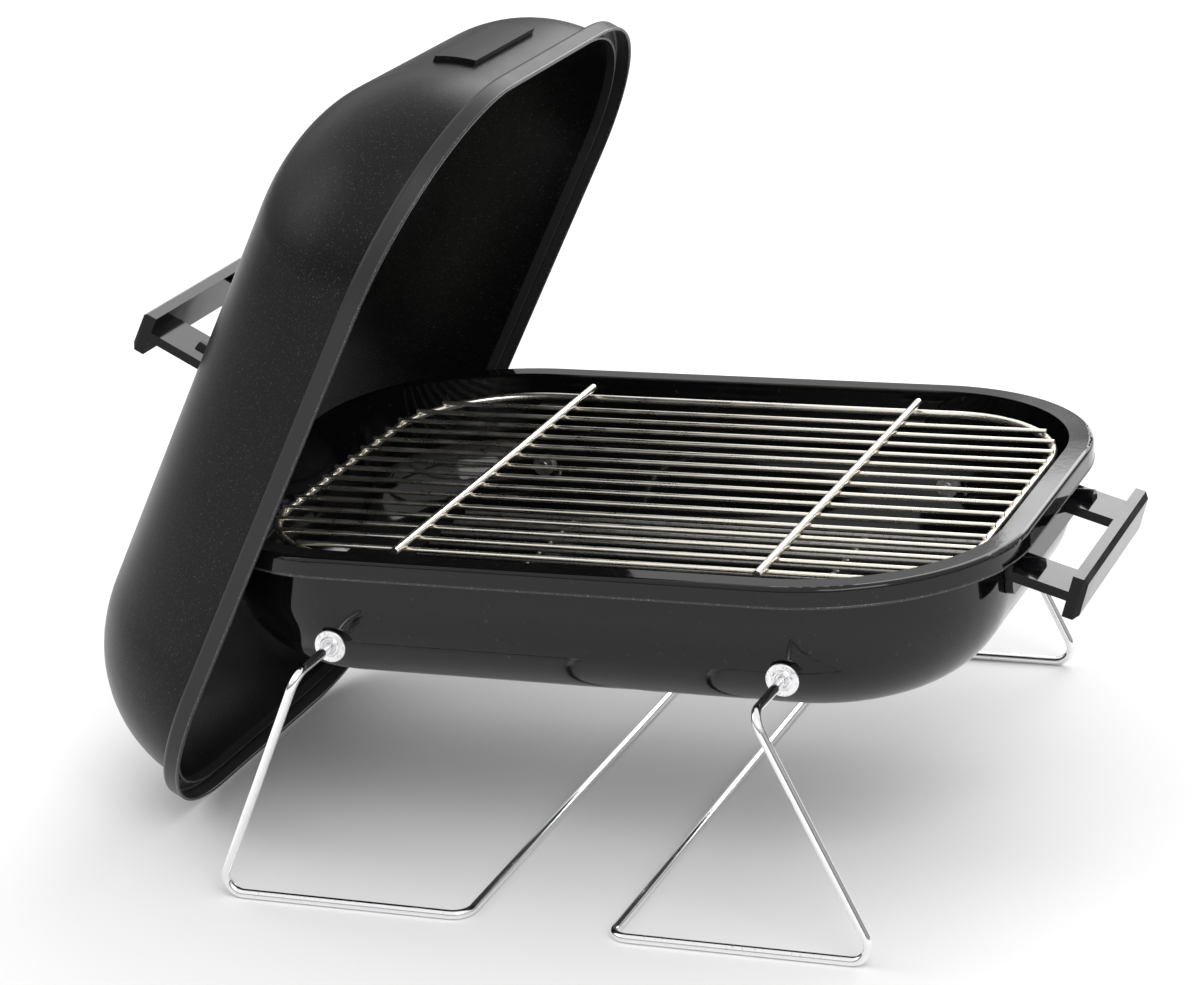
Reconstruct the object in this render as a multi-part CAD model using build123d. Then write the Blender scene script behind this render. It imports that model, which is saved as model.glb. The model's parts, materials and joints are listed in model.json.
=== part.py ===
from build123d import *
import math
import os

# Folding camp grill: a charcoal bowl on two folding wire legs, with a deep lid that is lifted off
# and hung over the left end of the bowl.
# Frame: millimetres, +X to the right (the bowl handle's end), +Y to the back, +Z up, z = 0 on the
# ground. Everything is drawn about the middle of the bowl and shifted by FRAME_SHIFT_X at the end,
# so that the origin is the bottom centre of the whole object's box.

# ---------------------------------------------------------------- driving dimensions
FRAME_SHIFT_X = 18.99     # moves the bowl's middle so that the whole box is centred on X

SHEET = 1.2               # enamelled steel sheet of bowl and lid
RIM_Z = 175.0             # top of the bowl's flange above the ground
RIM_X = 218.0             # half length of the bowl over its skirt
RIM_Y = 162.0             # half depth of the bowl over its skirt
RIM_R = 103.0             # plan corner radius of the bowl's skirt
FLANGE_W = 11.5           # width of the flat flange round the bowl's mouth
SKIRT_H = 11.0            # turned-down skirt of the bowl's flange
EDGE_R = 2.6              # rolled edge between flange and skirt
BOWL_DEPTH = 79.0         # flange top to underside of the bowl
BOWL_FILLET = 50.0        # bowl wall to bottom radius

LID_X = 220.4             # half length of the lid over its skirt
LID_Y = 164.4             # half depth of the lid over its skirt
LID_R = 105.0             # plan corner radius of the lid's skirt
LID_SKIRT_H = 10.0        # lid skirt height, mouth edge to ledge
LID_LEDGE_W = 8.0         # width of the ledge that sits on the bowl's flange
LID_H = 90.0              # mouth edge to crown
LID_SHOULDER = 82.0       # lid wall to crown radius
LID_TILT = 62.2           # angle of the hung lid's mouth to the ground, degrees
LID_POS = (-135.5, 0.0, 195.8)   # middle of the hung lid's mouth

PAD_Y = 39.0              # half width of the raised wire seat on each end of the lid
PAD_Z = (29.5, 50.0)      # height band of the wire seat above the mouth edge
PAD_RISE = 3.0            # how far the wire seat stands out

WIRE_R = 2.4              # leg wire radius
LEG_BEND = 9.0            # leg wire bend radius on its centre line
PIVOT_X = 119.0           # leg pivots from the middle of the bowl
PIVOT_Z = 124.0           # leg pivots above the ground
FOOT_OUT_X = 175.0        # outer foot corners from the middle
FOOT_IN_X = 39.0          # long under-bowl runs from the middle
LEFT_LEG_Y = 190.0        # half depth of the left leg
RIGHT_LEG_Y = 195.5       # half depth of the right leg, outside the left one when folded
WIRE_END_Y = 135.5        # wire ends inside the bowl
PIVOT_PLAY = 0.05         # radial running clearance of the leg wire in its bushing

BUSH_FLANGE_R = 8.4       # zinc pivot bushing, outer flange
BUSH_FLANGE_T = 1.6
BUSH_FLANGE_Y = 149.3     # inner face of the bushing's outer flange
BUSH_NECK_R = 4.3
BUSH_INNER_Y = 140.9      # inner end of the bushing's neck
WALL_HOLE_R = 4.35
RETAINER_R = 6.0          # push-on retaining cap on each wire end
RETAINER_Y = (136.0, 138.6)

GRIP_HALF = 66.5          # both handles: half length of the grip plate
GRIP_W = 22.0             # grip plate width
GRIP_T = 8.0              # grip plate thickness
GRIP_BEVEL = 2.5
ARM_LEN_Y = 29.0          # arm width along the grip
ARM_T = 5.0               # arm thickness
BASE_T = 4.0              # mounting plate thickness
BASE_W = 20.0
BOSS_Y = 52.0             # screw bosses from the middle of the handle
BOSS_R = 5.2
BOSS_LEN = 16.0
SCREW_R = 2.0
SCREW_HOLE_R = 2.1
SCREW_DEPTH = 12.0        # screw length in the boss
HEAD_R = 4.2
HEAD_T = 2.4
WASHER_R = 5.5
WASHER_T = 0.8
BOWL_HANDLE_TILT = 17.0   # the bowl handle's arms slope down by this angle
BOWL_ARM = 28.0           # mounting plate to grip plate, along the arms
BOWL_HANDLE_Z = 151.6     # middle of the mounting plate on the bowl's end wall
LID_ARM = 34.0            # mounting plate to grip plate of the lid handle

GRATE_X = 12.0            # cooking grate lies a little to the right and front
GRATE_Y = -6.0
GRATE_HALF_X = 185.0
GRATE_HALF_Y = 136.0
GRATE_R = 70.0
GRATE_Z = 168.0           # centre line of the outline wire
LOOP_R = 2.0              # outline and cross bar wire radius
ROD_R = 1.25              # cooking rod radius
ROD_PITCH = 16.5
ROD_COUNT = 15
ROD_FIRST = 106.0         # first rod behind the grate's middle
BAR_X = 94.5              # cross bars from the grate's middle
WELD_SINK = 0.25          # how far welded wires sink into each other

REST_X = 100.0            # grate rest tabs from the middle of the bowl
REST_W = 24.0
REST_T = 1.5
REST_TIP_FRONT = -137.0   # free end of the front tabs
REST_TIP_BACK = 119.0     # free end of the back tabs
REST_DROP = 14.0          # weld flange down the wall
REST_GAP = 0.3            # air between the tabs and the loose grate

COAL_HALF_X = 150.0       # charcoal grate
COAL_ROD_R = 1.5
COAL_PITCH = 17.0
COAL_COUNT = 12
COAL_STRIP_X = 84.0
COAL_STRIP_T = 2.5
COAL_STRIP_H = 10.0
COAL_STRIP_Y = 97.0
COAL_GAP = 0.3            # air between the strips and the bowl's bottom

DAMPER_R = 24.0           # air dampers of lid and bowl
DAMPER_T = 1.2
DAMPER_GAP = 0.3
VENT_R = 4.5
VENT_PCD_R = 14.0
VENT_COUNT = 3
RIVET_R = 2.5
RIVET_HEAD_R = 5.0
RIVET_HEAD_T = 1.6
RIVET_PLAY = 0.06
TAB_LEN = 9.0
TAB_W = 12.0
TAB_H = 6.0
LID_DAMPER_X = -104.0     # lid damper from the middle of the crown

OVER = 5.0                # how far cutters run past what they cut


# ---------------------------------------------------------------- small builders
def block(x0, x1, y0, y1, z0, z1):
    """A box between two corners."""
    return Pos((x0 + x1) / 2, (y0 + y1) / 2, (z0 + z1) / 2) * Box(x1 - x0, y1 - y0, z1 - z0)


def slab(half_x, half_y, radius, z0, z1):
    """A rounded rectangle raised from z0 to z1."""
    return extrude(Pos(0, 0, z0) * RectangleRounded(2 * half_x, 2 * half_y, radius), z1 - z0)


def rounded_slab(half_x, half_y, radius, z0, z1, fillet_r, top):
    """A raised rounded rectangle with its top or bottom edge rounded."""
    body = slab(half_x, half_y, radius, z0, z1)
    face = body.faces().sort_by(Axis.Z)[-1 if top else 0]
    return fillet(face.edges(), fillet_r)


def rod(start, end, radius):
    """A round bar between two points."""
    a = Vector(*start)
    b = Vector(*end)
    axis = b - a
    return Plane(origin=a, z_dir=axis) * Cylinder(
        radius, axis.length, align=(Align.CENTER, Align.CENTER, Align.MIN)
    )


def bent_wire(points, radius, bend):
    """A round wire along straight runs joined by equal bends."""
    path = FilletPolyline(*points, radius=bend)
    start = Plane(origin=path @ 0, z_dir=path % 0)
    return sweep(start * Circle(radius), path=path)


def ring_points(count, radius, phase=0.0):
    """Points evenly spaced on a circle."""
    step = 2 * math.pi / count
    return [
        (radius * math.cos(phase + i * step), radius * math.sin(phase + i * step))
        for i in range(count)
    ]


# ---------------------------------------------------------------- placing
hung = Location(LID_POS, (0, -LID_TILT, 0))
shift = Location((FRAME_SHIFT_X, 0, 0))
nodes = {}


def keep(name, shape):
    """Files a finished piece under its node name, in the object's own frame."""
    solids = (shift * shape).solids()
    nodes[name] = solids[0] if len(solids) == 1 else Compound(solids)
    nodes[name].label = name


# ---------------------------------------------------------------- bowl shell
wall_x = RIM_X - FLANGE_W
wall_y = RIM_Y - FLANGE_W
wall_r = RIM_R - FLANGE_W
bowl_bottom = RIM_Z - BOWL_DEPTH

cap_out = rounded_slab(RIM_X, RIM_Y, RIM_R, RIM_Z - SKIRT_H, RIM_Z, EDGE_R, True)
cap_in = rounded_slab(
    RIM_X - SHEET, RIM_Y - SHEET, RIM_R - SHEET,
    RIM_Z - SKIRT_H - OVER, RIM_Z - SHEET, EDGE_R - SHEET, True,
)
tub_out = rounded_slab(wall_x, wall_y, wall_r, bowl_bottom, RIM_Z - SHEET / 2, BOWL_FILLET, False)
tub_in = rounded_slab(
    wall_x - SHEET, wall_y - SHEET, wall_r - SHEET,
    bowl_bottom + SHEET, RIM_Z + OVER, BOWL_FILLET - SHEET, False,
)
bowl = (cap_out - cap_in) + tub_out - tub_in
for sx in (-1, 1):
    for sy in (-1, 1):
        bowl -= rod(
            (sx * PIVOT_X, sy * (wall_y - 2 * OVER), PIVOT_Z),
            (sx * PIVOT_X, sy * (wall_y + OVER), PIVOT_Z),
            WALL_HOLE_R,
        )
for sy in (-1, 1):
    bowl -= rod(
        (wall_x - OVER, sy * BOSS_Y, BOWL_HANDLE_Z),
        (wall_x + OVER, sy * BOSS_Y, BOWL_HANDLE_Z),
        SCREW_HOLE_R,
    )
bowl -= rod((0, 0, bowl_bottom - OVER), (0, 0, bowl_bottom + OVER), RIVET_R)
for px, py in ring_points(VENT_COUNT, VENT_PCD_R):
    bowl -= rod((px, py, bowl_bottom - OVER), (px, py, bowl_bottom + OVER), VENT_R)
keep("bowl_shell", bowl)

# ---------------------------------------------------------------- grate rest tabs
rests = []
rest_top = GRATE_Z - LOOP_R - REST_GAP
for sx in (-1, 1):
    for wall, tip in ((-1, REST_TIP_FRONT), (1, REST_TIP_BACK)):
        inner = wall * (wall_y - SHEET)
        y0, y1 = sorted((inner, tip))
        shelf = block(
            sx * REST_X - REST_W / 2, sx * REST_X + REST_W / 2,
            y0, y1, rest_top - REST_T, rest_top,
        )
        f0, f1 = sorted((inner, inner - wall * REST_T))
        flange = block(
            sx * REST_X - REST_W / 2, sx * REST_X + REST_W / 2,
            f0, f1, rest_top - REST_DROP, rest_top,
        )
        rests.append(shelf + flange)
keep("grate_rests", Compound(children=rests))

# ---------------------------------------------------------------- leg pivots
bushings = []
for sx in (-1, 1):
    for sy in (-1, 1):
        y_flange = sy * BUSH_FLANGE_Y
        y_outer = sy * (BUSH_FLANGE_Y + BUSH_FLANGE_T)
        flange = rod((sx * PIVOT_X, y_flange, PIVOT_Z), (sx * PIVOT_X, y_outer, PIVOT_Z), BUSH_FLANGE_R)
        flange = fillet(flange.edges().filter_by(GeomType.CIRCLE), 0.5)
        neck = rod(
            (sx * PIVOT_X, sy * BUSH_INNER_Y, PIVOT_Z), (sx * PIVOT_X, y_flange, PIVOT_Z), BUSH_NECK_R
        )
        bore = rod(
            (sx * PIVOT_X, sy * (BUSH_INNER_Y - OVER), PIVOT_Z),
            (sx * PIVOT_X, sy * (BUSH_FLANGE_Y + OVER), PIVOT_Z),
            WIRE_R + PIVOT_PLAY,
        )
        bushings.append(flange + neck - bore)
keep("pivot_bushings", Compound(children=bushings))


def leg(side, half_y):
    """One leg: wall pivot, foot, inward floor run, long run to the back, and the same behind."""
    x_pivot = side * PIVOT_X
    x_out = side * FOOT_OUT_X
    x_in = side * FOOT_IN_X
    floor_z = WIRE_R
    points = [
        (x_pivot, -WIRE_END_Y, PIVOT_Z),
        (x_pivot, -half_y, PIVOT_Z),
        (x_out, -half_y, floor_z),
        (x_in, -half_y, floor_z),
        (x_in, half_y, floor_z),
        (x_out, half_y, floor_z),
        (x_pivot, half_y, PIVOT_Z),
        (x_pivot, WIRE_END_Y, PIVOT_Z),
    ]
    return bent_wire(points, WIRE_R, LEG_BEND)


def retainers(side):
    """The push-on caps that hold one leg's two wire ends inside the bowl."""
    caps = []
    for sy in (-1, 1):
        cap = rod(
            (side * PIVOT_X, sy * RETAINER_Y[0], PIVOT_Z),
            (side * PIVOT_X, sy * RETAINER_Y[1], PIVOT_Z),
            RETAINER_R,
        )
        bore = rod(
            (side * PIVOT_X, sy * (RETAINER_Y[0] - OVER), PIVOT_Z),
            (side * PIVOT_X, sy * (RETAINER_Y[1] + OVER), PIVOT_Z),
            WIRE_R,
        )
        caps.append(cap - bore)
    return Compound(children=caps)


keep("left_leg", leg(-1, LEFT_LEG_Y))
keep("left_leg_retainers", retainers(-1))
keep("right_leg", leg(1, RIGHT_LEG_Y))
keep("right_leg_retainers", retainers(1))


# ---------------------------------------------------------------- handles
def handle_arms(arm_len, root):
    """Grip plate and two flat arms; +X is outward, the mounting plate's outer face is x = 0."""
    grip = block(arm_len, arm_len + GRIP_T, -GRIP_HALF, GRIP_HALF, -GRIP_W / 2, GRIP_W / 2)
    outer = grip.faces().sort_by(Axis.X)[-1]
    grip = chamfer(outer.edges(), GRIP_BEVEL)
    shape = grip
    for sy in (-1, 1):
        y0, y1 = sorted((sy * GRIP_HALF, sy * (GRIP_HALF - ARM_LEN_Y)))
        shape += block(-root, arm_len + 1, y0, y1, -ARM_T / 2, ARM_T / 2)
    return shape


def handle_base():
    """Mounting plate with its two screw bosses; its outer face is x = 0."""
    plate = block(-BASE_T, 0, -GRIP_HALF, GRIP_HALF, -BASE_W / 2, BASE_W / 2)
    plate = fillet(plate.edges().filter_by(Axis.X), 4.0)
    for sy in (-1, 1):
        plate += rod((-BASE_T, sy * BOSS_Y, 0), (BOSS_LEN - BASE_T, sy * BOSS_Y, 0), BOSS_R)
    return plate


def screw_holes():
    """The blind holes for the handle screws."""
    holes = [
        rod((-BASE_T - OVER, sy * BOSS_Y, 0), (SCREW_DEPTH - BASE_T, sy * BOSS_Y, 0), SCREW_HOLE_R)
        for sy in (-1, 1)
    ]
    return holes[0] + holes[1]


def handle_screws(inner_face):
    """Pan head screws and washers; inner_face is the sheet's inner side, outward is +X."""
    screws = []
    washers = []
    seat = inner_face - WASHER_T
    for sy in (-1, 1):
        y = sy * BOSS_Y
        shank = rod((seat, y, 0), (SCREW_DEPTH - BASE_T - 0.5, y, 0), SCREW_R)
        head = rod((seat - HEAD_T, y, 0), (seat, y, 0), HEAD_R)
        head = fillet(head.edges().filter_by(GeomType.CIRCLE).sort_by(Axis.X)[0], 1.6)
        slot = block(
            seat - HEAD_T - 1, seat - HEAD_T + 0.8, y - HEAD_R, y + HEAD_R, -0.5, 0.5
        )
        screws.append(shank + head - slot)
        ring = rod((seat, y, 0), (inner_face, y, 0), WASHER_R)
        washers.append(ring - rod((seat - OVER, y, 0), (inner_face + OVER, y, 0), SCREW_HOLE_R))
    return Compound(children=screws), Compound(children=washers)


bowl_seat = Location((wall_x + BASE_T, 0, BOWL_HANDLE_Z))
tilted = Location((0, 0, 0), (0, BOWL_HANDLE_TILT, 0)) * handle_arms(BOWL_ARM, 4.0)
behind = block(-40, -BASE_T, -100, 100, -60, 60)
keep("bowl_handle", bowl_seat * (tilted + handle_base() - behind - screw_holes()))
screws, washers = handle_screws(-BASE_T - SHEET)
keep("bowl_handle_screws", bowl_seat * screws)
keep("bowl_handle_washers", bowl_seat * washers)

# the lid handle's +X is turned to the lid's own +Z
lid_seat = hung * Location((0, 0, LID_H + BASE_T), (0, -90, 0))
keep("lid_handle", lid_seat * (handle_arms(LID_ARM, 1.0) + handle_base() - screw_holes()))
keep("lid_handle_screws", lid_seat * screws)
keep("lid_handle_washers", lid_seat * washers)

# ---------------------------------------------------------------- lid shell
crown_x = LID_X - LID_LEDGE_W
crown_y = LID_Y - LID_LEDGE_W
crown_r = LID_R - LID_LEDGE_W

lid_cap_out = rounded_slab(LID_X, LID_Y, LID_R, 0, LID_SKIRT_H, EDGE_R, True)
lid_cap_in = rounded_slab(
    LID_X - SHEET, LID_Y - SHEET, LID_R - SHEET, -OVER, LID_SKIRT_H - SHEET, EDGE_R - SHEET, True
)
dome_out = rounded_slab(crown_x, crown_y, crown_r, LID_SKIRT_H / 2, LID_H, LID_SHOULDER, True)
dome_in = rounded_slab(
    crown_x - SHEET, crown_y - SHEET, crown_r - SHEET,
    -OVER, LID_H - SHEET, LID_SHOULDER - SHEET, True,
)
seat_skin = rounded_slab(
    crown_x + PAD_RISE, crown_y + PAD_RISE, crown_r + PAD_RISE,
    LID_SKIRT_H / 2, LID_H + PAD_RISE, LID_SHOULDER + PAD_RISE, True,
)
lid = (lid_cap_out - lid_cap_in) + dome_out
for side in (-1, 1):
    x0, x1 = sorted((side * (crown_x - 60), side * (crown_x + 20)))
    lid += seat_skin & block(x0, x1, -PAD_Y, PAD_Y, PAD_Z[0], PAD_Z[1])
lid -= dome_in
for sy in (-1, 1):
    lid -= rod((0, sy * BOSS_Y, LID_H - OVER), (0, sy * BOSS_Y, LID_H + OVER), SCREW_HOLE_R)
lid -= rod((LID_DAMPER_X, 0, LID_H - OVER), (LID_DAMPER_X, 0, LID_H + OVER), RIVET_R)
for px, py in ring_points(VENT_COUNT, VENT_PCD_R):
    lid -= rod(
        (LID_DAMPER_X + px, py, LID_H - OVER), (LID_DAMPER_X + px, py, LID_H + OVER), VENT_R
    )
keep("lid_shell", hung * lid)


# ---------------------------------------------------------------- air dampers
def damper_plate():
    """A round plate with vent holes and an upturned finger tab; it sits on z = DAMPER_GAP."""
    z0 = DAMPER_GAP
    z1 = DAMPER_GAP + DAMPER_T
    plate = rod((0, 0, z0), (0, 0, z1), DAMPER_R)
    plate += block(DAMPER_R - 3, DAMPER_R + TAB_LEN, -TAB_W / 2, TAB_W / 2, z0, z1)
    plate += block(
        DAMPER_R + TAB_LEN - DAMPER_T, DAMPER_R + TAB_LEN, -TAB_W / 2, TAB_W / 2, z0, z0 + TAB_H
    )
    plate -= rod((0, 0, z0 - OVER), (0, 0, z1 + OVER), RIVET_R + RIVET_PLAY)
    for px, py in ring_points(VENT_COUNT, VENT_PCD_R):
        plate -= rod((px, py, z0 - OVER), (px, py, z1 + OVER), VENT_R)
    return plate


def damper_rivet():
    """The rivet through sheet and damper plate; the sheet's outer face is z = 0."""
    top = DAMPER_GAP + DAMPER_T + DAMPER_GAP
    shank = rod((0, 0, -SHEET), (0, 0, top), RIVET_R)
    inner = rod((0, 0, -SHEET - RIVET_HEAD_T), (0, 0, -SHEET), RIVET_HEAD_R)
    outer = rod((0, 0, top), (0, 0, top + RIVET_HEAD_T), RIVET_HEAD_R)
    outer = fillet(outer.edges().filter_by(GeomType.CIRCLE).sort_by(Axis.Z)[-1], 1.2)
    return shank + inner + outer


lid_vent = hung * Location((LID_DAMPER_X, 0, LID_H), (0, 0, 180))
keep("lid_damper", lid_vent * damper_plate())
keep("lid_damper_rivet", lid_vent * damper_rivet())
bowl_vent = Location((0, 0, bowl_bottom), (180, 0, 0))
keep("bowl_damper", bowl_vent * damper_plate())
keep("bowl_damper_rivet", bowl_vent * damper_rivet())

# ---------------------------------------------------------------- cooking grate
at_grate = Location((GRATE_X, GRATE_Y, GRATE_Z))
outline = RectangleRounded(2 * GRATE_HALF_X, 2 * GRATE_HALF_Y, GRATE_R).wire()
loop = sweep(Plane(origin=outline @ 0, z_dir=outline % 0) * Circle(LOOP_R), path=outline)
keep("cooking_grate_outline", at_grate * loop)


def loop_half_x(y):
    """Half length of the outline wire at a distance y from the grate's middle."""
    straight = GRATE_HALF_Y - GRATE_R
    if abs(y) <= straight:
        return GRATE_HALF_X
    return GRATE_HALF_X - GRATE_R + math.sqrt(GRATE_R**2 - (abs(y) - straight) ** 2)


rod_z = LOOP_R + ROD_R - WELD_SINK
bar_z = rod_z + ROD_R + LOOP_R - WELD_SINK
rods = []
for i in range(ROD_COUNT):
    y = ROD_FIRST - i * ROD_PITCH
    half = loop_half_x(y) + LOOP_R / 2
    rods.append(rod((-half, y, rod_z), (half, y, rod_z), ROD_R))
keep("cooking_grate_rods", at_grate * Compound(children=rods))
bars = [
    rod((sx * BAR_X, -GRATE_HALF_Y - 1, bar_z), (sx * BAR_X, GRATE_HALF_Y + 1, bar_z), LOOP_R)
    for sx in (-1, 1)
]
keep("cooking_grate_bars", at_grate * Compound(children=bars))

# ---------------------------------------------------------------- charcoal grate
coal_floor = bowl_bottom + SHEET + COAL_GAP
strips = []
for sx in (-1, 1):
    strips.append(
        block(
            sx * COAL_STRIP_X - COAL_STRIP_T / 2, sx * COAL_STRIP_X + COAL_STRIP_T / 2,
            -COAL_STRIP_Y, COAL_STRIP_Y, coal_floor, coal_floor + COAL_STRIP_H,
        )
    )
keep("charcoal_grate_strips", Compound(children=strips))
coal_z = coal_floor + COAL_STRIP_H + COAL_ROD_R - WELD_SINK
coal_rods = []
for i in range(COAL_COUNT):
    y = (i - (COAL_COUNT - 1) / 2) * COAL_PITCH
    coal_rods.append(rod((-COAL_HALF_X, y, coal_z), (COAL_HALF_X, y, coal_z), COAL_ROD_R))
keep("charcoal_grate_rods", Compound(children=coal_rods))

# ---------------------------------------------------------------- output
os.makedirs("parts", exist_ok=True)
for name, shape in nodes.items():
    export_step(shape, f"parts/{name}.step")
whole = Compound(children=list(nodes.values())).bounding_box()
print("box", whole.min, whole.max)
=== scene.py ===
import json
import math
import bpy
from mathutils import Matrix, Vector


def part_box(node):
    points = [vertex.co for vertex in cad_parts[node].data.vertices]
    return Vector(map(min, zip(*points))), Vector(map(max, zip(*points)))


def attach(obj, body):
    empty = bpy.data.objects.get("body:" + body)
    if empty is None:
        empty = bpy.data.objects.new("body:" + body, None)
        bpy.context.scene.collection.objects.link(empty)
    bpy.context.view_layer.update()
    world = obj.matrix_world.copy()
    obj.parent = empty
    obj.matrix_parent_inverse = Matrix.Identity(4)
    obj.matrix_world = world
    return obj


bl_info = {
    "name": "Folding Camp Grill",
    "version": (1, 0, 0),
    "blender": (4, 5, 0),
    "location": "View3D > Sidebar > Camp Grill",
    "description": "Enamel, chrome and moulded finishes, welds, hems and stage of a folding camp grill",
    "category": "Add Mesh",
}

import bpy
import numpy as np
from bpy.props import FloatProperty, FloatVectorProperty, IntProperty, PointerProperty
from mathutils import Matrix, Vector

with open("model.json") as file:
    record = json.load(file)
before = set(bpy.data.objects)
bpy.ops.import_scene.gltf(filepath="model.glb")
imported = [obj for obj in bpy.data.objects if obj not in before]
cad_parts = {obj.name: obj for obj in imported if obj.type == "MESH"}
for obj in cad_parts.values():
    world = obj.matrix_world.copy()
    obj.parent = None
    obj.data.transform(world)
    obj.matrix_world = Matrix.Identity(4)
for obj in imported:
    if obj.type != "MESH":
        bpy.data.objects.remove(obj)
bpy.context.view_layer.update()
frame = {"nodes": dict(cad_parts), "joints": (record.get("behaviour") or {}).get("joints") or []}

# ---------------------------------------------------------------- places read from the frame
BOWL_LOW, BOWL_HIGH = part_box("bowl_shell")
BOWL_MIDDLE = (BOWL_LOW + BOWL_HIGH) / 2
RODS_LOW, RODS_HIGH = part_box("cooking_grate_rods")
BARS_LOW, BARS_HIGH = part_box("cooking_grate_bars")
LID_JOINT = next(j for j in frame["joints"] if j["name"] == "lid_damper_turn")
LID_UP = Vector(LID_JOINT["axis"]).normalized()

# ---------------------------------------------------------------- sizes in metres
MM = 0.001
LID_ACROSS = Vector((0, 1, 0))
LID_ALONG = LID_ACROSS.cross(LID_UP)
DAMPER_RISE = 91.5 * MM       # lid damper's pivot above the mouth
DAMPER_OFFSET = 104.0 * MM    # and its distance from the lid's middle
LID_MIDDLE = Vector(LID_JOINT["pos_m"]) - LID_UP * DAMPER_RISE + LID_ALONG * DAMPER_OFFSET
LID_SKIRT = 10.0 * MM         # height of the lid's skirt
LID_HALF = (220.4 * MM, 164.4 * MM)   # half the length and half the width over the skirt
LID_CORNER = 105.0 * MM
BOWL_HALF = (218.0 * MM, 162.0 * MM)
BOWL_CORNER = 103.0 * MM
BOWL_SKIRT = 11.0 * MM
SHEET = 1.2 * MM              # thickness of the pressed steel
ROD_COUNT = 15
COAL_ROD_COUNT = 12
CRIMP_THICK = 1.1 * MM        # radius of the crimped ring's own section
SKIRT_SHEEN_FADE = 0.3 * MM          # height over which the skirt's painted sheen ends
JOIN_WITHIN = 0.01 * MM       # corners closer than this are one corner
RELIEF_DEPTH = 0.2 * MM       # depth that every finish's grain stands for
COOKING_WELD = (1.0, 0.85, 0.5)    # half widths of a weld spot, as parts of the weld width
CHARCOAL_WELD = (1.0, 0.8, 0.45)

# ---------------------------------------------------------------- how finely shapes are divided
CORNER_STEPS = 40             # points on each corner of a hem
CRIMP_STEPS = (40, 10)        # points round a crimped ring and round its section
WELD_STEPS = (12, 7)          # points round a weld spot and from pole to pole
ROUND_ABOVE = math.radians(32)     # a moulded edge sharper than this is rounded
ROUND_SEGMENTS = 2
FLAT_WEIGHT = 100             # lets the large flat faces decide how a rounded edge is shaded

# ---------------------------------------------------------------- finishes
# painted sheen: a paler grey on the lid's skirt that stands in for the glossy rim's reflection
SKIRT_SHEEN_COLOUR = (0.028, 0.028, 0.028, 1.0)
HEM_COLOUR = (0.03, 0.03, 0.03)
COAL_STEEL_COLOUR = (0.46, 0.45, 0.43)
WELD_COLOUR = (0.55, 0.50, 0.42)
ZINC_COLOUR = (0.90, 0.90, 0.91)
SMUDGE_DETAIL = 5.0
SMUDGE_RANGE = (0.35, 0.7)    # noise values that count as clean and as dull
GRAIN_DETAIL = 2.0
SPECKLE_FADE = 0.06           # how far above its threshold the noise makes a full speckle

# ---------------------------------------------------------------- stage
FLOOR_COLOUR = (0.90, 0.90, 0.90, 1.0)
FLOOR_ROUGHNESS = 0.85
FLOOR_GLOSS = 0.1
HORIZON = (0.02, (0.10, 0.10, 0.10, 1.0))   # a height on the surround and its colour there
OVERHEAD = (0.45, (1.0, 1.0, 1.0, 1.0))
BACKDROP_COLOUR = (0.93, 0.93, 0.93, 1.0)   # the surround where the camera sees it directly
SURROUND_STRENGTH = 0.95
SOFTBOXES = (                 # name, place, aim, size in metres, power in watts
    ("key_light", (1.6, -2.2, 2.6), (0.0, 0.0, 0.15), 1.8, 42.0),
    ("left_light", (-2.4, -0.8, 1.8), (0.0, 0.0, 0.2), 1.6, 10.0),
    ("back_light", (0.3, 2.6, 2.2), (0.0, 0.0, 0.2), 2.2, 40.0),
    ("rim_light", (0.5, 3.2, 1.1), (0.0, -0.1, 0.2), 1.4, 12.0),
)
CAMERA_PLACE = (0.6701, -1.6514, 0.7576)
SENSOR_WIDTH = 36.0           # millimetres
VIEW_END = 100.0              # how far the camera sees, in metres


# ---------------------------------------------------------------- mesh helpers
def grid_faces(rows, columns, wrap_rows, wrap_columns):
    """Quads of a rows x columns grid; a wrapped direction joins its last line to its first."""
    i = np.arange(rows if wrap_rows else rows - 1)
    j = np.arange(columns if wrap_columns else columns - 1)
    a, b = np.meshgrid(i, j, indexing="ij")
    a2 = (a + 1) % rows
    b2 = (b + 1) % columns
    quads = np.stack([a * columns + b, a2 * columns + b, a2 * columns + b2, a * columns + b2], -1)
    return quads.reshape(-1, 4)


def mesh_object(name, points, faces, material, smooth=True):
    """A new mesh object from arrays of points and faces, linked to the scene, with one material."""
    mesh = bpy.data.meshes.new(name)
    mesh.from_pydata(points.reshape(-1, 3).tolist(), [], [list(f) for f in faces])
    mesh.validate()
    mesh.polygons.foreach_set("use_smooth", np.full(len(mesh.polygons), smooth))
    mesh.materials.append(material)
    piece = bpy.data.objects.new(name, mesh)
    bpy.context.scene.collection.objects.link(piece)
    return piece


def rounded_loop(half_x, half_y, corner, steps):
    """A rounded rectangle: each corner is an arc c + r (cos t, sin t), the straights join the arcs."""
    t = np.linspace(0.0, math.pi / 2, steps)
    parts = []
    for turn, sx, sy in ((0, 1, 1), (1, -1, 1), (2, -1, -1), (3, 1, -1)):
        angle = t + turn * math.pi / 2
        centre = np.array([sx * (half_x - corner), sy * (half_y - corner)])
        parts.append(centre + corner * np.stack([np.cos(angle), np.sin(angle)], 1))
    return np.concatenate(parts)


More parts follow.
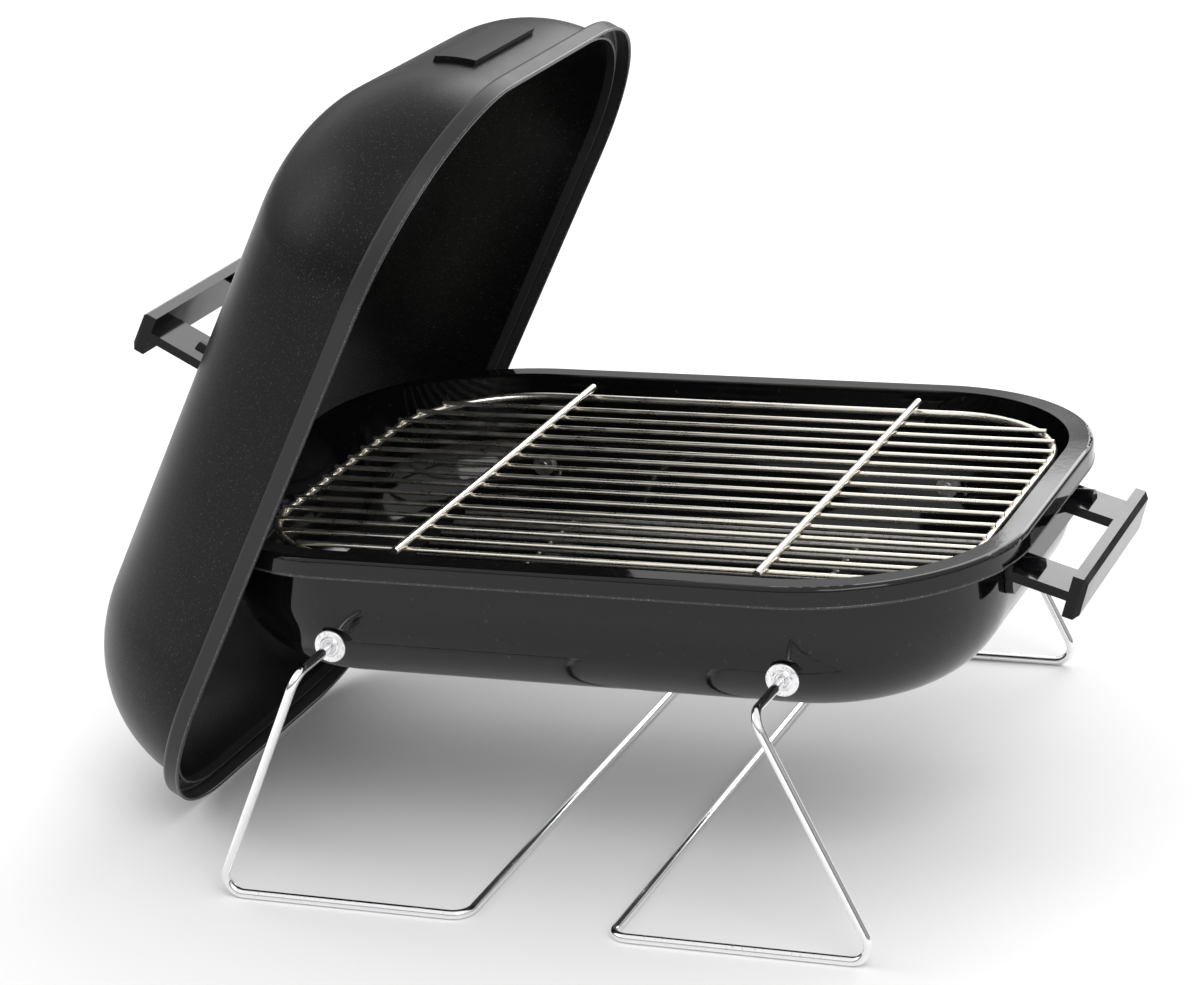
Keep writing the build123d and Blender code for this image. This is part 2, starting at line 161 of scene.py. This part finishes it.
def tube(path, radius, sides):
    """A round tube on a closed path: p + r (n cos a + b sin a), with n and b square to the path."""
    ahead = np.roll(path, -1, 0) - np.roll(path, 1, 0)
    ahead /= np.linalg.norm(ahead, axis=1)[:, None]
    up = np.array([0.0, 0.0, 1.0])
    side = np.cross(ahead, up)
    side /= np.linalg.norm(side, axis=1)[:, None]
    a = np.linspace(0.0, 2 * math.pi, sides, endpoint=False)
    ring = side[:, None] * np.cos(a)[None, :, None] + up * np.sin(a)[None, :, None]
    return path[:, None] + radius * ring


def blobs(centres, radii, around, rings):
    """Small ellipsoids: c + (rx sin v cos u, ry sin v sin u, rz cos v) about each centre."""
    u = np.linspace(0.0, 2 * math.pi, around, endpoint=False)
    v = np.linspace(0.0, math.pi, rings)
    vv, uu = np.meshgrid(v, u, indexing="ij")
    unit = np.stack([np.sin(vv) * np.cos(uu), np.sin(vv) * np.sin(uu), np.cos(vv)], -1)
    points = centres[:, None, None] + unit[None] * np.asarray(radii)
    one = grid_faces(rings, around, False, True)[:, ::-1]
    faces = (one[None] + (np.arange(len(centres)) * rings * around)[:, None, None]).reshape(-1, 4)
    return points, faces


def rings_about_y(centres, major, minor, around, sides):
    """Rings square to Y: c + (R + r cos b)(cos a, 0, sin a) + (0, r sin b, 0) about each centre."""
    a = np.linspace(0.0, 2 * math.pi, around, endpoint=False)
    b = np.linspace(0.0, 2 * math.pi, sides, endpoint=False)
    aa, bb = np.meshgrid(a, b, indexing="ij")
    reach = major + minor * np.cos(bb)
    ring = np.stack([reach * np.cos(aa), minor * np.sin(bb), reach * np.sin(aa)], -1)
    points = centres[:, None, None] + ring[None]
    one = grid_faces(around, sides, True, True)
    faces = (one[None] + (np.arange(len(centres)) * around * sides)[:, None, None]).reshape(-1, 4)
    return points, faces


def lid_frame(points):
    """Points in the lid's own frame, mouth at z = 0 and crown up, turned to where the lid hangs."""
    turn = np.array(Matrix((LID_ALONG, LID_ACROSS, LID_UP)).transposed())
    return points @ turn.T + np.array(LID_MIDDLE)


# ---------------------------------------------------------------- shader helpers
def new_group(name, inputs, outputs):
    """An empty shader node group with named float inputs (name, default) and named outputs."""
    group = bpy.data.node_groups.new(name, "ShaderNodeTree")
    for label, default in inputs:
        socket = group.interface.new_socket(label, in_out="INPUT", socket_type="NodeSocketFloat")
        socket.default_value = default
    for label in outputs:
        group.interface.new_socket(label, in_out="OUTPUT", socket_type="NodeSocketFloat")
    return group, group.nodes.new("NodeGroupInput"), group.nodes.new("NodeGroupOutput")


def noise(nodes, links, vector, scale, detail):
    """A noise texture on a vector; scale is a socket or a number."""
    node = nodes.new("ShaderNodeTexNoise")
    links.new(vector, node.inputs["Vector"])
    if isinstance(scale, (int, float)):
        node.inputs["Scale"].default_value = scale
    else:
        links.new(scale, node.inputs["Scale"])
    node.inputs["Detail"].default_value = detail
    return node.outputs["Fac"]


def stretch(nodes, links, value, low, high, to_low, to_high):
    """Maps a value from one range to another, held inside the new range."""
    node = nodes.new("ShaderNodeMapRange")
    links.new(value, node.inputs["Value"])
    ends = (("From Min", low), ("From Max", high), ("To Min", to_low), ("To Max", to_high))
    for label, number in ends:
        if isinstance(number, (int, float)):
            node.inputs[label].default_value = number
        else:
            links.new(number, node.inputs[label])
    return node.outputs["Result"]


def smudge_group():
    """Soft smudges: one noise mapped into a roughness from clean to dull."""
    inputs = (("Scale", 20.0), ("Clean", 0.1), ("Dull", 0.2))
    group, source, sink = new_group("smudges", inputs, ("Roughness",))
    nodes, links = group.nodes, group.links
    place = nodes.new("ShaderNodeTexCoord").outputs["Object"]
    wide = noise(nodes, links, place, source.outputs["Scale"], SMUDGE_DETAIL)
    ends = (source.outputs["Clean"], source.outputs["Dull"])
    result = stretch(nodes, links, wide, *SMUDGE_RANGE, *ends)
    links.new(result, sink.inputs["Roughness"])
    return group


def grain_group():
    """Fine grain: a small noise, and a sharp speckle mask of its highest spots."""
    inputs = (("Scale", 900.0), ("Threshold", 0.62))
    group, source, sink = new_group("grain", inputs, ("Height", "Speckle"))
    nodes, links = group.nodes, group.links
    place = nodes.new("ShaderNodeTexCoord").outputs["Object"]
    fine = noise(nodes, links, place, source.outputs["Scale"], GRAIN_DETAIL)
    links.new(fine, sink.inputs["Height"])
    above = nodes.new("ShaderNodeMath")
    above.operation = "SUBTRACT"
    links.new(fine, above.inputs[0])
    links.new(source.outputs["Threshold"], above.inputs[1])
    speckle = stretch(nodes, links, above.outputs[0], 0.0, SPECKLE_FADE, 0.0, 1.0)
    links.new(speckle, sink.inputs["Speckle"])
    return group


GROUP_MAKERS = {"smudges": smudge_group, "grain": grain_group}
GROUPS = {}                   # the groups made so far, shared by every finish


def group_node(material, name):
    """A shared node group placed in a material; the first call for a name makes the group."""
    if name not in GROUPS:
        GROUPS[name] = GROUP_MAKERS[name]()
    node = material.node_tree.nodes.new("ShaderNodeGroup")
    node.node_tree = GROUPS[name]
    return node


def finish_material(
    name, colour, speck, roughness, smudge, grain, speckle, bump, metallic=0.0, specular=0.5
):
    """One surface finish: base colour with specks, smudged roughness and a fine grain in the bump.

    roughness is (clean, dull); smudge and grain are noise scales per metre; a grain value above
    speckle shows the speck colour.
    """
    material = bpy.data.materials.new(name)
    material.use_nodes = True
    nodes, links = material.node_tree.nodes, material.node_tree.links
    shader = nodes["Principled BSDF"]
    shader.inputs["Metallic"].default_value = metallic
    shader.inputs["Specular IOR Level"].default_value = specular
    smudges = group_node(material, "smudges")
    smudges.inputs["Scale"].default_value = smudge
    for label, value in zip(("Clean", "Dull"), roughness):
        smudges.inputs[label].default_value = value
    links.new(smudges.outputs["Roughness"], shader.inputs["Roughness"])
    grains = group_node(material, "grain")
    grains.inputs["Scale"].default_value = grain
    grains.inputs["Threshold"].default_value = speckle
    mix = nodes.new("ShaderNodeMix")
    mix.data_type = "RGBA"
    mix.inputs["A"].default_value = (*colour, 1.0)
    mix.inputs["B"].default_value = (*speck, 1.0)
    links.new(grains.outputs["Speckle"], mix.inputs["Factor"])
    links.new(mix.outputs["Result"], shader.inputs["Base Color"])
    relief = nodes.new("ShaderNodeBump")
    relief.inputs["Strength"].default_value = bump
    relief.inputs["Distance"].default_value = RELIEF_DEPTH
    links.new(grains.outputs["Height"], relief.inputs["Height"])
    links.new(relief.outputs["Normal"], shader.inputs["Normal"])
    return material


def dress(material, *names):
    """Gives CAD nodes a new finish in their first material slot."""
    for name in names:
        node = frame["nodes"][name]
        if not node.material_slots:
            node.data.materials.append(material)
        for place in node.material_slots:
            place.material = material


def soften(name, width):
    """Joins a node's loose triangles, rounds its sharp edges and keeps its flat faces flat."""
    node = frame["nodes"][name]
    weld = node.modifiers.new("join", "WELD")
    weld.merge_threshold = JOIN_WITHIN
    bevel = node.modifiers.new("round", "BEVEL")
    bevel.width = width
    bevel.segments = ROUND_SEGMENTS
    bevel.limit_method = "ANGLE"
    bevel.angle_limit = ROUND_ABOVE
    flat = node.modifiers.new("flat", "WEIGHTED_NORMAL")
    flat.weight = FLAT_WEIGHT


# ---------------------------------------------------------------- settings
class GrillFinishSettings(bpy.types.PropertyGroup):
    """Base colours of the grill's finishes."""

    bowl_colour: FloatVectorProperty(
        name="Bowl Enamel", description="Base colour of the bowl's gloss enamel",
        subtype="COLOR", size=3, min=0.0, max=1.0, default=(0.004, 0.004, 0.004),
    )
    lid_colour: FloatVectorProperty(
        name="Lid Enamel", description="Base colour of the lid's satin enamel",
        subtype="COLOR", size=3, min=0.0, max=1.0, default=(0.003, 0.003, 0.003),
    )
    chrome_colour: FloatVectorProperty(
        name="Chrome", description="Colour of the plated leg wire",
        subtype="COLOR", size=3, min=0.0, max=1.0, default=(0.92, 0.92, 0.93),
    )
    grate_colour: FloatVectorProperty(
        name="Grate Plating", description="Colour of the plated grate wire",
        subtype="COLOR", size=3, min=0.0, max=1.0, default=(0.96, 0.92, 0.83),
    )
    handle_colour: FloatVectorProperty(
        name="Handle Moulding", description="Colour of the moulded handles",
        subtype="COLOR", size=3, min=0.0, max=1.0, default=(0.005, 0.005, 0.006),
    )


class GrillDetailSettings(bpy.types.PropertyGroup):
    """Sizes of the small details."""

    hem_radius: FloatProperty(
        name="Hem Radius", description="Radius of the rolled hem on both skirts",
        subtype="DISTANCE", unit="LENGTH", default=0.00085, min=0.0003, max=0.002,
    )
    weld_width: FloatProperty(
        name="Weld Width", description="Half width of a spot weld where two wires cross",
        subtype="DISTANCE", unit="LENGTH", default=0.0022, min=0.0005, max=0.005,
    )
    moulding_round: FloatProperty(
        name="Moulding Round", description="Radius of the moulded handles' soft edges",
        subtype="DISTANCE", unit="LENGTH", default=0.0007, min=0.0001, max=0.002,
    )
    crimp_radius: FloatProperty(
        name="Crimp Radius", description="Radius of the crimped ring round each pivot",
        subtype="DISTANCE", unit="LENGTH", default=0.0042, min=0.003, max=0.007,
    )
    hem_sides: IntProperty(
        name="Hem Sides", description="Points round the rolled hem", default=12, min=6, max=32,
    )


class GrillStageSettings(bpy.types.PropertyGroup):
    """The floor and the camera."""

    floor_size: FloatProperty(
        name="Floor Size", description="Half width of the studio floor",
        subtype="DISTANCE", unit="LENGTH", default=12.0, min=2.0, max=40.0,
    )
    camera_place: FloatVectorProperty(
        name="Camera Place", description="Where the camera stands",
        subtype="TRANSLATION", unit="LENGTH", size=3, default=CAMERA_PLACE,
    )
    heading: FloatProperty(
        name="Heading", description="Turn of the camera to the right of +Y",
        subtype="ANGLE", unit="ROTATION", default=-0.3908,
    )
    dip: FloatProperty(
        name="Dip", description="How far the camera looks down",
        subtype="ANGLE", unit="ROTATION", default=0.3233,
    )
    roll: FloatProperty(
        name="Roll", description="Turn of the camera about its own line of sight",
        subtype="ANGLE", unit="ROTATION", default=-0.0744,
    )
    lens: FloatProperty(
        name="Lens", description="Focal length in millimetres on a 36 mm sensor",
        default=107.8, min=20.0, max=300.0,
    )


# ---------------------------------------------------------------- pieces
class GRILL_OT_enamel(bpy.types.Operator):
    """Gloss enamel on the bowl, satin speckled enamel on the lid with a painted sheen on its skirt."""

    bl_idname = "grill.enamel"
    bl_label = "Enamel Bowl and Lid"

    def execute(self, context):
        settings = context.scene.grill_finish
        gloss = finish_material(
            "gloss_enamel", settings.bowl_colour, speck=(0.020, 0.020, 0.020), roughness=(0.04, 0.10),
            smudge=18.0, grain=260.0, speckle=0.68, bump=0.05, specular=0.36,
        )
        satin = finish_material(
            "satin_enamel", settings.lid_colour, speck=(0.035, 0.034, 0.033), roughness=(0.30, 0.40),
            smudge=14.0, grain=1100.0, speckle=0.62, bump=0.30, specular=0.22,
        )
        self.paint_skirt_sheen(satin)
        dress(gloss, "bowl_shell", "grate_rests", "bowl_damper", "lid_damper")
        dress(satin, "lid_shell")
        return {"FINISHED"}

    def paint_skirt_sheen(self, material):
        """Painted sheen on the lid's skirt: a paler grey that stands in for the glossy rim's
        reflection, a step on the height above the lid's own mouth.
        """
        nodes, links = material.node_tree.nodes, material.node_tree.links
        shader = nodes["Principled BSDF"]
        place = nodes.new("ShaderNodeTexCoord").outputs["Object"]
        middle = nodes.new("ShaderNodeVectorMath")
        middle.operation = "SUBTRACT"
        middle.inputs[1].default_value = LID_MIDDLE
        links.new(place, middle.inputs[0])
        height = nodes.new("ShaderNodeVectorMath")
        height.operation = "DOT_PRODUCT"
        height.inputs[1].default_value = LID_UP
        links.new(middle.outputs["Vector"], height.inputs[0])
        edge = LID_SKIRT - SKIRT_SHEEN_FADE
        # below this height the lid's skirt gets the paler grey of the painted sheen
        sheen_mask = stretch(nodes, links, height.outputs["Value"], edge, LID_SKIRT, 1.0, 0.0)
        mix = nodes.new("ShaderNodeMix")
        mix.data_type = "RGBA"
        mix.inputs["B"].default_value = SKIRT_SHEEN_COLOUR
        links.new(sheen_mask, mix.inputs["Factor"])
        links.new(shader.inputs["Base Color"].links[0].from_socket, mix.inputs["A"])
        links.new(mix.outputs["Result"], shader.inputs["Base Color"])


class GRILL_OT_hems(bpy.types.Operator):
    """Rolled hems on the free edges of the lid's and the bowl's skirts."""

    bl_idname = "grill.hems"
    bl_label = "Skirt Hems"

    def execute(self, context):
        settings = context.scene.grill_detail
        radius = settings.hem_radius
        rolled = finish_material(
            "hem_enamel", HEM_COLOUR, speck=(0.12, 0.12, 0.11), roughness=(0.16, 0.26),
            smudge=40.0, grain=900.0, speckle=0.60, bump=0.2,
        )
        inset = SHEET / 2
        half_x, half_y = (half - inset for half in LID_HALF)
        loop = rounded_loop(half_x, half_y, LID_CORNER - inset, CORNER_STEPS)
        path = np.column_stack([loop, np.full(len(loop), radius)])
        rings = tube(path, radius, settings.hem_sides)
        faces = grid_faces(len(loop), settings.hem_sides, True, True)
        lid_hem = mesh_object("lid_hem", lid_frame(rings.reshape(-1, 3)), faces, rolled)
        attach(lid_hem, "lid")
        half_x, half_y = (half - inset for half in BOWL_HALF)
        loop = rounded_loop(half_x, half_y, BOWL_CORNER - inset, CORNER_STEPS)
        height = BOWL_HIGH.z - BOWL_SKIRT + radius
        path = np.column_stack([loop + np.array(BOWL_MIDDLE[:2]), np.full(len(loop), height)])
        rings = tube(path, radius, settings.hem_sides)
        bowl_hem = mesh_object("bowl_hem", rings, faces, rolled)
        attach(bowl_hem, "bowl")
        return {"FINISHED"}


class GRILL_OT_wires(bpy.types.Operator):
    """Bright chrome on the legs and warm nickel plating on the grate."""

    bl_idname = "grill.wires"
    bl_label = "Plated Wires"

    def execute(self, context):
        settings = context.scene.grill_finish
        chrome = finish_material(
            "chrome_plate", settings.chrome_colour, speck=(0.78, 0.78, 0.78), roughness=(0.06, 0.14),
            smudge=60.0, grain=500.0, speckle=0.64, bump=0.05, metallic=1.0,
        )
        nickel = finish_material(
            "grate_plate", settings.grate_colour, speck=(0.80, 0.72, 0.60), roughness=(0.24, 0.38),
            smudge=80.0, grain=700.0, speckle=0.66, bump=0.10, metallic=1.0,
        )
        coal = finish_material(
            "coal_grate_steel", COAL_STEEL_COLOUR, speck=(0.30, 0.28, 0.26), roughness=(0.32, 0.50),
            smudge=60.0, grain=600.0, speckle=0.58, bump=0.20, metallic=1.0,
        )
        dress(chrome, "left_leg", "right_leg")
        dress(nickel, "cooking_grate_outline", "cooking_grate_rods", "cooking_grate_bars")
        dress(coal, "charcoal_grate_strips", "charcoal_grate_rods")
        return {"FINISHED"}


class GRILL_OT_welds(bpy.types.Operator):
    """Spot welds where the grate's rods cross the bars."""

    bl_idname = "grill.welds"
    bl_label = "Grate Welds"

    def execute(self, context):
        width = context.scene.grill_detail.weld_width
        steel = finish_material(
            "weld_steel", WELD_COLOUR, speck=(0.35, 0.30, 0.24), roughness=(0.30, 0.45),
            smudge=200.0, grain=1500.0, speckle=0.55, bump=0.3, metallic=1.0,
        )
        radius = (RODS_HIGH.z - RODS_LOW.z) / 2
        bar_radius = (BARS_HIGH.z - BARS_LOW.z) / 2
        rows = np.linspace(RODS_LOW.y + radius, RODS_HIGH.y - radius, ROD_COUNT)
        columns = np.array([BARS_LOW.x + bar_radius, BARS_HIGH.x - bar_radius])
        x, y = np.meshgrid(columns, rows, indexing="ij")
        height = (BARS_LOW.z + RODS_HIGH.z) / 2
        centres = np.column_stack([x.ravel(), y.ravel(), np.full(x.size, height)])
        points, faces = blobs(centres, width * np.array(COOKING_WELD), *WELD_STEPS)
        welds = mesh_object("grate_welds", points, faces, steel)
        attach(welds, "cooking_grate")
        self.coal_welds(steel, width)
        return {"FINISHED"}

    def coal_welds(self, steel, width):
        """The same welds where the charcoal grate's rods lie on their strips."""
        low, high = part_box("charcoal_grate_rods")
        strip_low, strip_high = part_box("charcoal_grate_strips")
        radius = (high.z - low.z) / 2
        rows = np.linspace(low.y + radius, high.y - radius, COAL_ROD_COUNT)
        x, y = np.meshgrid((strip_low.x, strip_high.x), rows, indexing="ij")
        centres = np.column_stack([x.ravel(), y.ravel(), np.full(x.size, strip_high.z)])
        points, faces = blobs(centres, width * np.array(CHARCOAL_WELD), *WELD_STEPS)
        welds = mesh_object("coal_welds", points, faces, steel)
        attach(welds, "charcoal_grate")


class GRILL_OT_handles(bpy.types.Operator):
    """Moulded finish on both handles."""

    bl_idname = "grill.handles"
    bl_label = "Handles"

    def execute(self, context):
        colour = context.scene.grill_finish.handle_colour
        width = context.scene.grill_detail.moulding_round
        moulded = finish_material(
            "moulded_handle", colour, speck=(0.022, 0.022, 0.023), roughness=(0.08, 0.17),
            smudge=30.0, grain=1200.0, speckle=0.66, bump=0.06, specular=0.2,
        )
        dress(moulded, "bowl_handle", "lid_handle")
        for name in ("bowl_handle", "lid_handle"):
            soften(name, width)
        return {"FINISHED"}


class GRILL_OT_hardware(bpy.types.Operator):
    """Zinc finish on bushings, caps, screws, washers and rivets."""

    bl_idname = "grill.hardware"
    bl_label = "Zinc Hardware"

    def execute(self, context):
        zinc = finish_material(
            "zinc_plate", ZINC_COLOUR, speck=(0.62, 0.62, 0.63), roughness=(0.24, 0.42),
            smudge=140.0, grain=800.0, speckle=0.58, bump=0.25, metallic=1.0,
        )
        low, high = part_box("pivot_bushings")
        flange = (high.z - low.z) / 2
        x, y = np.meshgrid((low.x + flange, high.x - flange), (low.y, high.y), indexing="ij")
        centres = np.column_stack([x.ravel(), y.ravel(), np.full(x.size, (low.z + high.z) / 2)])
        crimp = context.scene.grill_detail.crimp_radius
        points, faces = rings_about_y(centres, crimp, CRIMP_THICK, *CRIMP_STEPS)
        crimps = mesh_object("pivot_crimps", points, faces, zinc)
        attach(crimps, "bowl")
        dress(
            zinc, "pivot_bushings", "left_leg_retainers", "right_leg_retainers",
            "bowl_handle_screws", "bowl_handle_washers", "lid_handle_screws", "lid_handle_washers",
            "lid_damper_rivet", "bowl_damper_rivet",
        )
        return {"FINISHED"}


class GRILL_OT_stage(bpy.types.Operator):
    """A plain pale floor, soft studio light and the camera."""

    bl_idname = "grill.stage"
    bl_label = "Stage"

    def execute(self, context):
        settings = context.scene.grill_stage
        self.floor(settings.floor_size)
        self.sky(context.scene)
        for light in SOFTBOXES:
            self.softbox(*light)
        self.camera(context.scene, settings)
        return {"FINISHED"}

    def floor(self, half):
        """A flat square z = 0 under the legs, large enough to fill every view."""
        corners = np.array([[-half, -half, 0], [half, -half, 0], [half, half, 0], [-half, half, 0]])
        pale = bpy.data.materials.new("pale_floor")
        pale.use_nodes = True
        shader = pale.node_tree.nodes["Principled BSDF"]
        shader.inputs["Base Color"].default_value = FLOOR_COLOUR
        shader.inputs["Roughness"].default_value = FLOOR_ROUGHNESS
        shader.inputs["Specular IOR Level"].default_value = FLOOR_GLOSS
        piece = mesh_object("studio_floor", corners, [(0, 1, 2, 3)], pale, smooth=False)

    def sky(self, scene):
        """Studio surround: bright overhead, greyer towards the horizon."""
        world = bpy.data.worlds.new("studio")
        scene.world = world
        world.use_nodes = True
        nodes, links = world.node_tree.nodes, world.node_tree.links
        place = nodes.new("ShaderNodeTexCoord").outputs["Generated"]
        split = nodes.new("ShaderNodeSeparateXYZ")
        links.new(place, split.inputs[0])
        ramp = nodes.new("ShaderNodeValToRGB")
        for stop, (height, colour) in zip(ramp.color_ramp.elements, (HORIZON, OVERHEAD)):
            stop.position = height
            stop.color = colour
        links.new(split.outputs["Z"], ramp.inputs["Fac"])
        seen = nodes.new("ShaderNodeMix")
        seen.data_type = "RGBA"
        seen.inputs["B"].default_value = BACKDROP_COLOUR
        links.new(nodes.new("ShaderNodeLightPath").outputs["Is Camera Ray"], seen.inputs["Factor"])
        links.new(ramp.outputs["Color"], seen.inputs["A"])
        links.new(seen.outputs["Result"], nodes["Background"].inputs["Color"])
        nodes["Background"].inputs["Strength"].default_value = SURROUND_STRENGTH
        scene.view_settings.view_transform = "Standard"

    def softbox(self, name, place, aim, size, power):
        """A square area light at a place, turned towards its aim."""
        light = bpy.data.lights.new(name, "AREA")
        light.size = size
        light.energy = power
        lamp = bpy.data.objects.new(name, light)
        bpy.context.scene.collection.objects.link(lamp)
        lamp.location = place
        lamp.rotation_euler = (Vector(aim) - Vector(place)).to_track_quat("-Z", "Y").to_euler()

    def camera(self, scene, settings):
        """Looks along heading and dip, then rolls about the line of sight."""
        h, d, r = settings.heading, settings.dip, settings.roll
        ahead = Vector((math.sin(h) * math.cos(d), math.cos(h) * math.cos(d), -math.sin(d)))
        level = Vector((math.cos(h), -math.sin(h), 0.0))
        above = level.cross(ahead)
        right = math.cos(r) * level + math.sin(r) * above
        up = math.cos(r) * above - math.sin(r) * level
        data = bpy.data.cameras.new("camera")
        data.sensor_width = SENSOR_WIDTH
        data.lens = settings.lens
        data.clip_end = VIEW_END
        camera = bpy.data.objects.new("camera", data)
        scene.collection.objects.link(camera)
        turn = Matrix((right, up, -ahead)).transposed().to_4x4()
        camera.matrix_world = Matrix.Translation(settings.camera_place) @ turn
        scene.camera = camera


PIECES = (
    GRILL_OT_enamel,
    GRILL_OT_hems,
    GRILL_OT_wires,
    GRILL_OT_welds,
    GRILL_OT_handles,
    GRILL_OT_hardware,
    GRILL_OT_stage,
)


class GRILL_PT_panel(bpy.types.Panel):
    """Lists the grill's sizes, finishes and pieces."""

    bl_idname = "GRILL_PT_panel"
    bl_label = "Camp Grill"
    bl_space_type = "VIEW_3D"
    bl_region_type = "UI"
    bl_category = "Camp Grill"

    def draw(self, context):
        scene = context.scene
        for settings in (scene.grill_finish, scene.grill_detail, scene.grill_stage):
            box = self.layout.box()
            for name in settings.__annotations__:
                box.prop(settings, name)
        for piece in PIECES:
            self.layout.operator(piece.bl_idname)


SETTINGS = (
    ("grill_finish", GrillFinishSettings),
    ("grill_detail", GrillDetailSettings),
    ("grill_stage", GrillStageSettings),
)


def register():
    """Adds the settings, the pieces and the panel to Blender."""
    for name, group in SETTINGS:
        bpy.utils.register_class(group)
        setattr(bpy.types.Scene, name, PointerProperty(type=group))
    for piece in PIECES:
        bpy.utils.register_class(piece)
    bpy.utils.register_class(GRILL_PT_panel)


def unregister():
    """Takes them out again, last added first."""
    bpy.utils.unregister_class(GRILL_PT_panel)
    for piece in reversed(PIECES):
        bpy.utils.unregister_class(piece)
    for name, group in reversed(SETTINGS):
        delattr(bpy.types.Scene, name)
        bpy.utils.unregister_class(group)


def main():
    register()
    for piece in PIECES:
        group, name = piece.bl_idname.split(".")
        getattr(getattr(bpy.ops, group), name)()
    bpy.context.view_layer.update()


if __name__ == "__main__":
    main()
